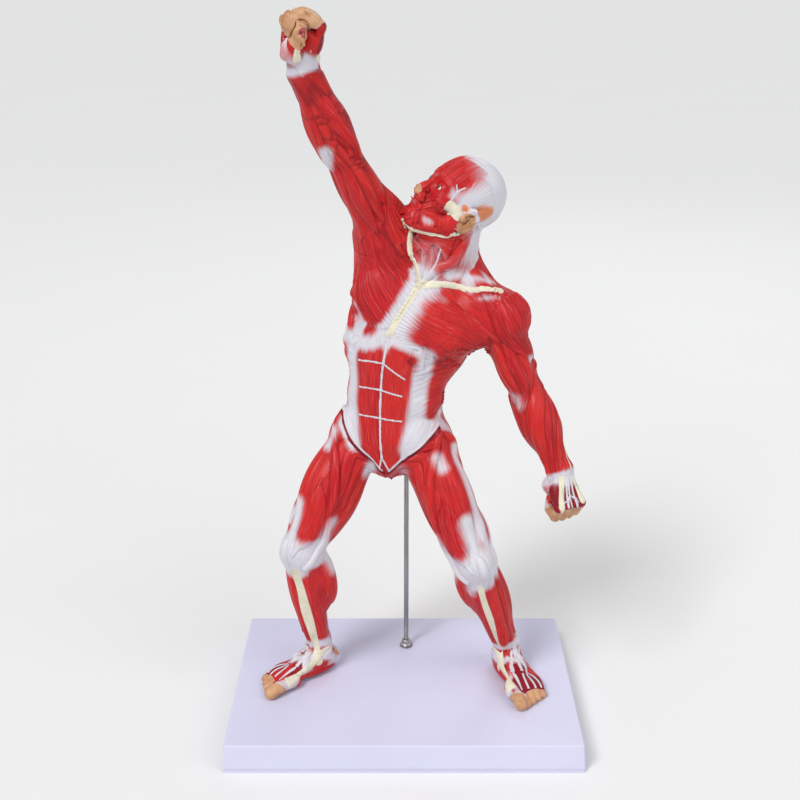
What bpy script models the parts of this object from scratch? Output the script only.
"""Quarter-size human muscle figure on a stand: its castings, plugs, rod, base and fasteners.

Metres, +Z up, origin at the middle of the base's underside. The figure faces -Y and its left side is +X.
Each hollow casting is a union of simple masses over a posed skeleton, remeshed into one skin, cored out
and cut at flat seams, where a turned plug joins it to its neighbour.
"""

import math

import bmesh
import bpy
from mathutils import Matrix, Vector

MM = 0.001
GAP = 0.3 * MM  # kept between touching pieces
SEAM_HALF_GAP = 0.15 * MM

# Base
BASE_WIDTH = 250 * MM
BASE_DEPTH = 175 * MM
BASE_HEIGHT = 21 * MM
PANEL_THICKNESS = 2 * MM
DECK = 3.5 * MM
WALL = 3 * MM
RIB = 2.5 * MM
DRAFT = 1.2 * MM
POCKETS_X = 3
POCKETS_Y = 3
CORNER_INSET = 14 * MM
BOSS_RADIUS = 5 * MM

# Support rod and its fasteners
ROD_RADIUS = 1.8 * MM
ROD_X = 2 * MM
ROD_Y = 44 * MM
ROD_TOP = 194 * MM
ROD_SLEEVE_LENGTH = 16 * MM
ROD_SLEEVE_WALL = 1.6 * MM
NUT_RADIUS = 4 * MM
NUT_HEIGHT = 3.4 * MM
NUT_PLAY = 0.1 * MM
FLANGE_RADIUS = 4.6 * MM
DOME_RADIUS = 3.7 * MM
DOME_HEIGHT = 5 * MM
WASHER_RADIUS = 4.9 * MM
WASHER_THICKNESS = 0.8 * MM
SLACK = 0.2 * MM  # between stacked washers and nuts

# Screws
FOOT_SCREW_RADIUS = 1.75 * MM
FOOT_SCREW_BITE = 9 * MM
PANEL_SCREW_RADIUS = 1.4 * MM
PANEL_SCREW_HEAD = 2.9 * MM
PANEL_SCREW_LENGTH = 9 * MM
FOOT_SCREW_HEAD = 3.2 * MM
FOOT_WASHER_RADIUS = 3.6 * MM
FOOT_WASHER_THICKNESS = 0.8 * MM

ROUND = 24  # sides of a turned piece
PLUG_SIDES = 16


def at(x, y, z):
    """A point given in millimetres."""
    return Vector((x, y, z)) * MM


# Posed skeleton
HIP_R = at(-32, 30, 206)
HIP_L = at(16, 21, 203)
KNEE_R = at(-74, -4, 129)
KNEE_L = at(51, -14, 124)
ANKLE_R = at(-64, 12, 41)
ANKLE_L = at(78, 9, 41)
TOES_R = at(-97, -18, 27)
TOES_L = at(91, -38, 27)
SHOULDER_R = at(-14, 36, 348)
SHOULDER_L = at(62, 21, 297)
ELBOW_R = at(-42, 14, 408)
ELBOW_L = at(88, 24, 236)
WRIST_R = at(-64, 2, 462)
WRIST_L = at(111, 4, 186)
FIST_R = at(-62, -1, 486)
FIST_L = at(113.5, -3, 166)
RIGHT_BICEPS = Vector((0.2, -1, 0))
LEFT_BICEPS = Vector((-0.3, -1, 0))
GRIPS = {"right": ((-0.95, -0.3, 0), 1), "left": ((-0.35, 0.9, 0), -1)}  # the palm's facing, the thumb's side


def frame(origin, forward, up):
    """Local axes (left, front, up) of a body segment, as a matrix."""
    u = Vector(up).normalized()
    f = Vector(forward)
    f = (f - u * f.dot(u)).normalized()
    left = u.cross(f)
    matrix = Matrix((left, f, u)).transposed().to_4x4()
    matrix.translation = origin
    return matrix


THORAX = frame(at(-4, 26, 279), (-0.31, -0.95, 0), (0.45, 0.08, 0.89))
PELVIS = frame(at(-8, 26, 202), (-0.2, -0.98, 0), (0.06, 0, 1))
HEAD = frame(at(41.5, 29, 379), (-0.73, -0.34, 0.59), (0.62, 0.05, 0.78))


def local(segment, left, front, up):
    """A point of a body segment, given in millimetres along its own axes."""
    return segment @ (Vector((left, front, up)) * MM)


# Seams: a point on the plane, the way out of the trunk, and the plug's radius
NECK_SEAM = at(30, 33, 343)
NECK_OUT = Vector((0.3, 0, 0.95)).normalized()
SHOULDER_R_SEAM = at(-14, 34, 350)
SHOULDER_R_OUT = (ELBOW_R - SHOULDER_R).normalized()
SHOULDER_L_SEAM = at(58, 22, 298)
SHOULDER_L_OUT = Vector((0.94, 0, -0.34)).normalized()
HIP_R_SEAM = at(-31, 26, 200)
HIP_R_OUT = Vector((-0.72, 0, -0.69)).normalized()
HIP_L_SEAM = at(14, 20, 199)
HIP_L_OUT = Vector((0.69, 0, -0.72)).normalized()
LIMB_PLUG = 6 * MM
NECK_PLUG = 7 * MM
PEG = 3 * MM


def matter(name, colour, roughness, metallic=0.0):
    material = bpy.data.materials.new(name)
    material.use_nodes = True
    shader = material.node_tree.nodes["Principled BSDF"]
    shader.inputs["Base Color"].default_value = (*colour, 1.0)
    shader.inputs["Roughness"].default_value = roughness
    shader.inputs["Metallic"].default_value = metallic
    return material


def collect(name):
    collection = bpy.data.collections.new(name)
    bpy.context.scene.collection.children.link(collection)
    return collection


def clear_scene():
    for obj in list(bpy.data.objects):
        bpy.data.objects.remove(obj)


clear_scene()
PARTS = collect("muscle_figure")
CUTTERS = collect("cutters")
MUSCLE = matter("painted_vinyl", (0.62, 0.03, 0.03), 0.4)
WHITE_VINYL = matter("white_vinyl", (0.8, 0.78, 0.8), 0.45)
PLASTIC = matter("base_plastic", (0.62, 0.62, 0.78), 0.45)
STEEL = matter("steel", (0.55, 0.55, 0.56), 0.3, 1.0)


def finish(bm, name, material, smooth=True):
    """A named part made from a bmesh."""
    mesh = bpy.data.meshes.new(name)
    bm.to_mesh(mesh)
    bm.free()
    if smooth:
        mesh.shade_smooth()
        mesh.set_sharp_from_angle(angle=math.radians(40))
    obj = bpy.data.objects.new(name, mesh)
    mesh.materials.append(material)
    PARTS.objects.link(obj)
    return obj


def hide(obj):
    """Turns a part into a cutter or another helper."""
    for collection in list(obj.users_collection):
        collection.objects.unlink(obj)
    CUTTERS.objects.link(obj)
    obj.hide_render = True
    obj.display_type = "WIRE"
    return obj


def boolean(obj, cutter, operation="DIFFERENCE"):
    modifier = obj.modifiers.new(cutter.name, "BOOLEAN")
    modifier.operation = operation
    modifier.object = cutter
    modifier.solver = "EXACT"


def facing(point, direction):
    """A matrix at point whose Z axis runs along direction."""
    matrix = Vector(direction).to_track_quat("Z", "Y").to_matrix().to_4x4()
    matrix.translation = point
    return matrix


# Masses: closed primitives that overlap inside one mesh until a voxel remesh joins them


def mass(bm, segment, centre, radii):
    """An egg whose radii lie along the segment's own axes, in millimetres."""
    spot = local(segment, *centre)
    turn = segment.to_3x3().to_4x4()
    size = Matrix.Diagonal((*(Vector(radii) * MM), 1.0))
    place = Matrix.Translation(spot) @ turn @ size
    bmesh.ops.create_uvsphere(bm, u_segments=20, v_segments=12, radius=1, matrix=place)


def limb(bm, start, end, start_radius, end_radius):
    """A tapered round-ended limb between two points, with radii in millimetres."""
    axis = end - start
    r0 = start_radius * MM
    r1 = end_radius * MM
    middle = facing((start + end) / 2, axis)
    bmesh.ops.create_cone(
        bm, cap_ends=True, segments=20, radius1=r0, radius2=r1, depth=axis.length, matrix=middle
    )
    for point, radius in ((start, r0), (end, r1)):
        spot = Matrix.Translation(point)
        bmesh.ops.create_uvsphere(bm, u_segments=16, v_segments=10, radius=radius, matrix=spot)


def belly(bm, start, end, share, radius, side, offset):
    """A muscle's swelling on a limb: an egg centred at share of the way along, pushed to one side."""
    axis = end - start
    side = Vector(side)
    side = (side - axis.normalized() * side.dot(axis.normalized())).normalized()
    centre = start + axis * share + side * offset * MM
    size = Matrix.Diagonal((radius * MM, radius * MM, axis.length * 0.36, 1.0))
    place = facing(centre, axis) @ size
    bmesh.ops.create_uvsphere(bm, u_segments=16, v_segments=12, radius=1, matrix=place)


def skin(bm, name, voxel, keep):
    """A casting: the masses joined by a voxel remesh, smoothed, and thinned to a share of its faces."""
    obj = finish(bm, name, MUSCLE, smooth=False)
    remesh = obj.modifiers.new("join", "REMESH")
    remesh.mode = "VOXEL"
    remesh.voxel_size = voxel * MM
    smooth = obj.modifiers.new("smooth", "SMOOTH")
    smooth.factor = 0.5
    smooth.iterations = 3
    thin = obj.modifiers.new("thin", "DECIMATE")
    thin.ratio = keep
    return obj


def core(name, pieces):
    """A cutter that hollows a casting: eggs and limbs joined as its outer skin is."""
    bm = bmesh.new()
    for shape, *values in pieces:
        shape(bm, *values)
    return hide(skin(bm, name, 4, 0.08))


def rod_shape(name, start, direction, length, radius, material=STEEL, sides=ROUND):
    """A plain cylinder from start along direction."""
    bm = bmesh.new()
    middle = facing(Vector(start) + Vector(direction).normalized() * length / 2, direction)
    bmesh.ops.create_cone(
        bm, cap_ends=True, segments=sides, radius1=radius, radius2=radius, depth=length, matrix=middle
    )
    return finish(bm, name, material)


def block(name, centre, direction, size, depth):
    """A box cutter whose near face is on centre, reaching depth along direction."""
    bm = bmesh.new()
    middle = facing(Vector(centre) + Vector(direction) * depth / 2, direction)
    bmesh.ops.create_cube(bm, size=1, matrix=middle @ Matrix.Diagonal((size, size, depth, 1.0)))
    return hide(finish(bm, name, STEEL, smooth=False))


def turned(name, point, direction, profile, material, sides=ROUND):
    """A turned solid: profile pairs (radius, height) in millimetres run from the top to the bottom."""
    bm = bmesh.new()
    rows = [bm.verts.new((r * MM, 0, h * MM)) for r, h in profile]
    for upper, lower in zip(rows, rows[1:]):
        bm.edges.new((upper, lower))
    obj = finish(bm, name, material, smooth=False)
    screw = obj.modifiers.new("turn", "SCREW")
    screw.axis = "Z"
    screw.steps = sides
    screw.render_steps = sides
    screw.use_merge_vertices = True
    screw.merge_threshold = 0.00001
    obj.matrix_world = facing(point, direction)
    return obj


def seam(name, point, out, inner, outer, width, plug, reach):
    """Cuts two castings apart at a plane and joins them with a turned plug in matching bores.

    reach is how far the plug goes into the inner and the outer casting, in millimetres."""
    depth = width * MM
    boolean(inner, block(name + "_inner_trim", point - out * SEAM_HALF_GAP, out, depth, depth))
    boolean(outer, block(name + "_outer_trim", point + out * SEAM_HALF_GAP, -out, depth, depth))
    inward, outward = reach
    radius = plug / MM
    bead = radius + 0.6
    profile = [
        (0, outward),
        (radius - 0.6, outward),
        (radius, outward - 0.6),
        (radius, -inward + 4),
        (bead, -inward + 2.6),
        (bead, -inward + 1.6),
        (radius - 0.4, -inward),
        (0, -inward),
    ]
    turned(name + "_plug", point, out, profile, WHITE_VINYL, sides=PLUG_SIDES)
    bore_radius = (bead + 0.3) * MM
    spare = 1.2 * MM
    start = point - out * (inward * MM + spare)
    bore = rod_shape(name + "_bore", start, out, (inward + outward) * MM + 2 * spare, bore_radius)
    hide(bore)
    boolean(inner, bore)
    boolean(outer, bore)


# Castings


def trunk():
    bm = bmesh.new()
    mass(bm, THORAX, (1, 0, 4), (39, 27, 46))
    mass(bm, THORAX, (2, -2, 34), (34, 20, 22))
    for side in (-1, 1):
        mass(bm, THORAX, (2 + side * 33, -8, 10), (12, 18, 34))
        mass(bm, THORAX, (side * 22, 16, 20), (21, 11, 17))
        mass(bm, PELVIS, (side * 14, -14, -10), (17, 18, 20))
    mass(bm, PELVIS, (0, 1, 34), (34, 23, 36))
    mass(bm, PELVIS, (0, 0, 4), (33, 25, 27))
    mass(bm, PELVIS, (0, 8, -12), (14, 15, 14))
    neck = at(22, 33, 326)
    limb(bm, neck, NECK_SEAM + NECK_OUT * 6 * MM, 20, 19)
    limb(bm, at(36, 40, 340), SHOULDER_L + at(-6, 6, 4), 12, 13)
    limb(bm, neck, SHOULDER_R + SHOULDER_R_OUT * 8 * MM, 18, 19)
    limb(bm, local(THORAX, -34, 0, 26), SHOULDER_R + SHOULDER_R_OUT * 8 * MM, 20, 18)
    limb(bm, neck, SHOULDER_L + at(4, 0, 0), 17, 15)
    limb(bm, local(THORAX, 30, 0, 24), SHOULDER_L + at(4, 0, -3), 20, 18)
    for hip, out in ((HIP_R, HIP_R_OUT), (HIP_L, HIP_L_OUT)):
        limb(bm, hip, hip + out * 16 * MM, 22.5, 22.5)
    return skin(bm, "trunk", 5, 0.15)


def trunk_core():
    return core(
        "trunk_hollow",
        [
            (mass, THORAX, (0, 0, 2), (32, 20, 36)),
            (mass, PELVIS, (0, 0, 34), (26, 17, 34)),
            (mass, PELVIS, (0, -1, 6), (28, 18, 18)),
        ],
    )


def head():
    bm = bmesh.new()
    mass(bm, HEAD, (0, -3, 2), (21, 26, 23.5))
    mass(bm, HEAD, (0, 15, -4), (17, 12, 17))
    mass(bm, HEAD, (0, 15, -18), (15, 13, 15))
    mass(bm, HEAD, (0, 21, -30), (10, 9, 8))
    mass(bm, HEAD, (0, 25, -12), (3.5, 5, 7))
    for side in (-1, 1):
        mass(bm, HEAD, (side * 21, -2, -11), (2.5, 5, 7.5))
    limb(bm, NECK_SEAM - NECK_OUT * 6 * MM, local(HEAD, 0, -6, -18), 19, 18)
    limb(bm, NECK_SEAM - NECK_OUT * 6 * MM, local(HEAD, 0, 10, -27), 17, 13)
    return skin(bm, "head", 3, 0.16)


def head_core():
    cavity = (mass, HEAD, (0, -4, 3), (15, 19, 17))
    throat = (limb, NECK_SEAM, local(HEAD, 0, -4, -4), 6, 7)
    return core("head_hollow", [cavity, throat])


def arm(name, shoulder, elbow, wrist, fist, front, root):
    bm = bmesh.new()
    limb(bm, root, shoulder, 19, 18.5)
    limb(bm, shoulder, elbow, 16.5, 10.5)
    limb(bm, elbow, wrist, 11.5, 8)
    limb(bm, wrist, wrist.lerp(fist, 0.4), 8, 9)
    back = -front
    belly(bm, shoulder, elbow, 0.55, 11, front, 5)
    belly(bm, shoulder, elbow, 0.5, 11, back, 6)
    belly(bm, elbow, wrist, 0.3, 13.5, front, 1.5)
    return skin(bm, name, 3.6, 0.16)


def hand(name, wrist, fist, palm, thumb):
    """A clenched fist: a flattened palm block, four knuckle rolls and the thumb across them."""
    bm = bmesh.new()
    axis = (fist - wrist).normalized()
    place = frame(fist, palm, axis)
    limb(bm, wrist - axis * 4 * MM, wrist.lerp(fist, 0.5), 8, 10)
    mass(bm, place, (0, 0, 0), (13, 9.5, 12))
    for finger in range(4):
        across = (finger - 1.5) * 5.8
        mass(bm, place, (across, 5, 6), (3.6, 6.5, 6.5))
        mass(bm, place, (across, 1, 8), (3.6, 6, 5))
    limb(bm, local(place, thumb * 11, 2, -8), local(place, thumb * 9, 10, 3), 4.5, 4)
    return skin(bm, name, 2, 0.16)


def leg(name, hip, knee, ankle, toes, out):
    bm = bmesh.new()
    forward = toes - ankle
    limb(bm, hip - out * 8 * MM, hip, 22.5, 22.5)
    limb(bm, hip, knee, 21.5, 15)
    limb(bm, knee, ankle, 14, 9)
    limb(bm, ankle, ankle - Vector((0, 0, 8 * MM)), 9, 10)
    belly(bm, hip, knee, 0.45, 16, forward, 8)
    belly(bm, hip, knee, 0.5, 15, -forward, 6)
    belly(bm, knee, ankle, 0.32, 14, -forward, 6.5)
    kneecap = Matrix.Translation(knee + forward.normalized() * 5 * MM)
    bmesh.ops.create_uvsphere(bm, u_segments=16, v_segments=10, radius=12 * MM, matrix=kneecap)
    return skin(bm, name, 4.2, 0.16)


def foot(name, ankle, toes):
    bm = bmesh.new()
    flat = Vector((toes.x - ankle.x, toes.y - ankle.y, 0))
    place = frame(Vector((ankle.x, ankle.y, BASE_HEIGHT)), flat, (0, 0, 1))
    limb(bm, ankle + at(0, 0, 4), local(place, 0, 0, 12), 9, 10)
    mass(bm, place, (0, -11, 8), (10, 10, 9))
    mass(bm, place, (0, 8, 9), (12, 23, 12))
    mass(bm, place, (0, 28, 5), (16, 19, 8))
    inner = 1 if toes.x < ankle.x else -1
    for toe in range(5):
        across = inner * (12 - toe * 5.8)
        length = 47 - toe * 2.6
        radius = 5.2 if toe == 0 else 3.8
        limb(bm, local(place, across * 0.9, 24, 6), local(place, across, length, 4.2), radius + 1, radius)
    obj = skin(bm, name, 2.4, 0.18)
    ground = Vector((ankle.x, ankle.y, BASE_HEIGHT + GAP))
    boolean(obj, block(name + "_sole", ground, Vector((0, 0, -1)), 120 * MM, 30 * MM))
    return obj, place


def limb_core(name, points, radius):
    pieces = [(limb, a, b, radius, radius * 0.8) for a, b in zip(points, points[1:])]
    return core(name, pieces)


# Base and fasteners


def rod_axis(height):
    return Vector((ROD_X, ROD_Y, height))


def base_tray():
    """The moulded tray: drafted sides, rounded edges, and pockets underneath with ribs between them."""
    bm = bmesh.new()
    height = BASE_HEIGHT - PANEL_THICKNESS - GAP
    bmesh.ops.create_cube(bm, size=1)
    for vert in bm.verts:
        top = vert.co.z > 0
        inset = DRAFT if top else 0
        vert.co.x = math.copysign(BASE_WIDTH / 2 - inset, vert.co.x)
        vert.co.y = math.copysign(BASE_DEPTH / 2 - inset, vert.co.y)
        vert.co.z = BASE_HEIGHT if top else BASE_HEIGHT - height
    edges = [e for e in bm.edges if max(v.co.z for v in e.verts) > BASE_HEIGHT - MM]
    bmesh.ops.bevel(bm, geom=edges, offset=1.6 * MM, segments=3, profile=0.5, affect="EDGES")
    tray = finish(bm, "base_tray", PLASTIC)
    boolean(tray, pockets())
    boolean(tray, bosses(), "UNION")
    return tray


def pockets():
    """One cutter that holds the pockets between the ribs."""
    bm = bmesh.new()
    inner_x = BASE_WIDTH - 2 * WALL - 2 * DRAFT
    inner_y = BASE_DEPTH - 2 * WALL - 2 * DRAFT
    step_x = (inner_x + RIB) / POCKETS_X
    step_y = (inner_y + RIB) / POCKETS_Y
    depth = BASE_HEIGHT - DECK
    for column in range(POCKETS_X):
        for row in range(POCKETS_Y):
            x = (column - (POCKETS_X - 1) / 2) * step_x
            y = (row - (POCKETS_Y - 1) / 2) * step_y
            size = Matrix.Diagonal((step_x - RIB, step_y - RIB, depth, 1.0))
            bmesh.ops.create_cube(bm, size=1, matrix=Matrix.Translation((x, y, depth / 2)) @ size)
    return hide(finish(bm, "tray_pockets", PLASTIC, smooth=False))


def corners():
    x = BASE_WIDTH / 2 - CORNER_INSET
    y = BASE_DEPTH / 2 - CORNER_INSET
    return [Vector((sx * x, sy * y, 0)) for sx in (-1, 1) for sy in (-1, 1)]


def bosses():
    """Corner posts for the panel's screws, as one helper that is added to the tray."""
    bm = bmesh.new()
    low = PANEL_THICKNESS + 2 * GAP
    high = BASE_HEIGHT - DECK / 2
    for corner in corners():
        spot = Matrix.Translation((corner.x, corner.y, (low + high) / 2))
        bmesh.ops.create_cone(
            bm,
            cap_ends=True,
            segments=ROUND,
            radius1=BOSS_RADIUS,
            radius2=BOSS_RADIUS,
            depth=high - low,
            matrix=spot,
        )
    return hide(finish(bm, "tray_bosses", PLASTIC, smooth=False))


def base_panel():
    bm = bmesh.new()
    size = Matrix.Diagonal((BASE_WIDTH, BASE_DEPTH, PANEL_THICKNESS, 1.0))
    bmesh.ops.create_cube(bm, size=1, matrix=Matrix.Translation((0, 0, PANEL_THICKNESS / 2)) @ size)
    return finish(bm, "base_panel", PLASTIC, smooth=False)


def panel_screws(tray, panel):
    """Countersunk screws through the panel into the tray's corner posts."""
    for number, corner in enumerate(corners(), 1):
        wide = PANEL_SCREW_HEAD / MM
        shank = PANEL_SCREW_RADIUS / MM
        length = PANEL_SCREW_LENGTH / MM
        tip = [(0, length), (0.5, length), (shank, length - 1.2)]
        profile = tip + [(shank, 1.7), (wide, 0.3), (wide - 0.2, 0), (0, 0)]
        start = corner + at(0, 0, 0.2)
        turned(f"panel_screw_{number}", start, (0, 0, 1), profile, STEEL, sides=16)
        loose = shank + GAP / MM
        mouth = wide + 0.4
        hole = [(0, length + 1), (loose, length + 1), (loose, 1.9), (mouth, 0.4), (mouth, -1), (0, -1)]
        cutter = hide(turned(f"panel_hole_{number}", start, (0, 0, 1), hole, STEEL, sides=16))
        boolean(tray, cutter)
        boolean(panel, cutter)


def nut(name, height):
    """A hexagon nut on the rod, with its bore."""
    obj = rod_shape(name, rod_axis(height), (0, 0, 1), NUT_HEIGHT, NUT_RADIUS, sides=6)
    return bored(obj, height, NUT_HEIGHT)


def bored(obj, height, thickness):
    """Drills a piece for the rod, right through."""
    start = rod_axis(height - MM)
    bore = rod_shape(obj.name + "_bore", start, (0, 0, 1), thickness + 2 * MM, ROD_RADIUS + NUT_PLAY)
    boolean(obj, hide(bore))
    return obj


def washer(name, height, thickness=WASHER_THICKNESS):
    obj = rod_shape(name, rod_axis(height), (0, 0, 1), thickness, WASHER_RADIUS)
    return bored(obj, height, thickness)


def support_rod(tray, trunk_casting):
    """The rod, clamped to the deck between two nuts, and the sleeve in the pelvis that it ends in."""
    bottom = PANEL_THICKNESS + 2 * MM
    rod = rod_shape("support_rod", rod_axis(bottom), (0, 0, 1), ROD_TOP - bottom, ROD_RADIUS)
    below = BASE_HEIGHT - DECK - GAP - WASHER_THICKNESS
    washer("under_washer", below)
    nut("under_nut", below - SLACK - NUT_HEIGHT)
    top = BASE_HEIGHT + GAP
    washer("deck_washer", top)
    bore = (ROD_RADIUS + NUT_PLAY) / MM
    flange = FLANGE_RADIUS / MM
    shoulder = DOME_RADIUS / MM
    crown = DOME_HEIGHT / MM
    dome = [
        (bore, crown),
        (shoulder - 1.2, crown),
        (shoulder - 0.3, crown - 0.8),
        (shoulder, crown - 2),
        (shoulder + 0.1, 1.6),
        (flange, 0.8),
        (flange, 0),
        (bore, 0),
        (bore, crown),
    ]
    turned("lock_nut", rod_axis(top + WASHER_THICKNESS + SLACK), (0, 0, 1), dome, STEEL)
    hole = rod_shape("rod_hole", rod_axis(0), (0, 0, 1), 2 * BASE_HEIGHT, ROD_RADIUS + GAP)
    boolean(tray, hide(hole))
    inner = (ROD_RADIUS + GAP) / MM
    outer = inner + ROD_SLEEVE_WALL / MM
    sleeve_bottom = ROD_TOP - ROD_SLEEVE_LENGTH
    floor = ROD_SLEEVE_LENGTH / MM + 0.5
    length = floor + 1.5
    sleeve = [(0, length), (outer, length), (outer, 0), (inner, 0), (inner, floor), (0, floor)]
    turned("rod_sleeve", rod_axis(sleeve_bottom), (0, 0, 1), sleeve, STEEL)
    start = rod_axis(sleeve_bottom - 30 * MM)
    pocket = rod_shape("sleeve_pocket", start, (0, 0, 1), (length + 30.4) * MM, (outer + 0.4) * MM)
    boolean(trunk_casting, hide(pocket))
    return rod


def foot_screws(tray, casting, place, side):
    """Two pan-head screws and washers that hold a foot down from under the deck."""
    under = BASE_HEIGHT - DECK
    for number, along in enumerate((-6, 20), 1):
        spot = local(place, 0, along, 0)
        spot.z = under - GAP
        shank = FOOT_SCREW_RADIUS / MM
        top = (DECK + FOOT_SCREW_BITE) / MM
        rim = FOOT_WASHER_RADIUS / MM
        eye = shank + SLACK / MM
        thick = FOOT_WASHER_THICKNESS / MM
        ring = [(rim, 0), (rim, -thick), (eye, -thick), (eye, 0), (rim, 0)]
        turned(f"foot_washer_{side}_{number}", spot, (0, 0, 1), ring, STEEL, sides=16)
        below = -thick - SLACK / MM
        wide = FOOT_SCREW_HEAD / MM
        tip = [(0, top), (0.8, top), (shank, top - 1.2)]
        profile = tip + [(shank, below), (wide, below), (wide - 0.6, below - 1.8), (0, below - 1.8)]
        turned(f"foot_screw_{side}_{number}", spot, (0, 0, 1), profile, STEEL, sides=16)
        start = Vector((spot.x, spot.y, under - 2 * MM))
        length = (top + 3) * MM
        width = FOOT_SCREW_RADIUS + GAP
        cutter = rod_shape(f"foot_hole_{side}_{number}", start, (0, 0, 1), length, width, sides=16)
        hide(cutter)
        boolean(tray, cutter)
        boolean(casting, cutter)


def whole_arm(body, side, shoulder, elbow, wrist, fist, front, point, out):
    """An arm and its hand, plugged to each other and to the trunk."""
    casting = arm(f"{side}_arm", shoulder, elbow, wrist, fist, front, point - out * 8 * MM)
    palm, thumb = GRIPS[side]
    palm_casting = hand(f"{side}_hand", wrist, fist, palm, thumb)
    inside = [point, shoulder, shoulder.lerp(elbow, 0.75)]
    boolean(casting, limb_core(f"{side}_arm_hollow", inside, 8))
    seam(f"{side}_shoulder", point, out, body, casting, 56, LIMB_PLUG, (14, 10))
    along = (fist - wrist).normalized()
    seam(f"{side}_wrist", wrist + along * 2 * MM, along, casting, palm_casting, 50, PEG, (9, 7))


def build():
    body = trunk()
    skull = head()
    boolean(body, trunk_core())
    boolean(skull, head_core())
    seam("neck", NECK_SEAM, NECK_OUT, body, skull, 62, NECK_PLUG, (12, 10))

    for arm_plan in (
        ("right", SHOULDER_R, ELBOW_R, WRIST_R, FIST_R, RIGHT_BICEPS, SHOULDER_R_SEAM, SHOULDER_R_OUT),
        ("left", SHOULDER_L, ELBOW_L, WRIST_L, FIST_L, LEFT_BICEPS, SHOULDER_L_SEAM, SHOULDER_L_OUT),
    ):
        whole_arm(body, *arm_plan)

    legs = (
        ("right", HIP_R, KNEE_R, ANKLE_R, TOES_R, HIP_R_SEAM, HIP_R_OUT),
        ("left", HIP_L, KNEE_L, ANKLE_L, TOES_L, HIP_L_SEAM, HIP_L_OUT),
    )
    tray = base_tray()
    panel = base_panel()
    for side, hip, knee, ankle, toes, point, out in legs:
        casting = leg(f"{side}_leg", hip, knee, ankle, toes, out)
        sole, place = foot(f"{side}_foot", ankle, toes)
        inside = [hip, hip.lerp(knee, 0.8)]
        boolean(casting, limb_core(f"{side}_leg_hollow", inside, 11))
        seam(f"{side}_hip", point, out, body, casting, 90, LIMB_PLUG, (10, 12))
        along = (ankle - knee).normalized()
        seam(f"{side}_ankle", ankle - along * 2 * MM, along, casting, sole, 60, PEG, (9, 8))
        foot_screws(tray, sole, place, side)
    support_rod(tray, body)
    panel_screws(tray, panel)


build()
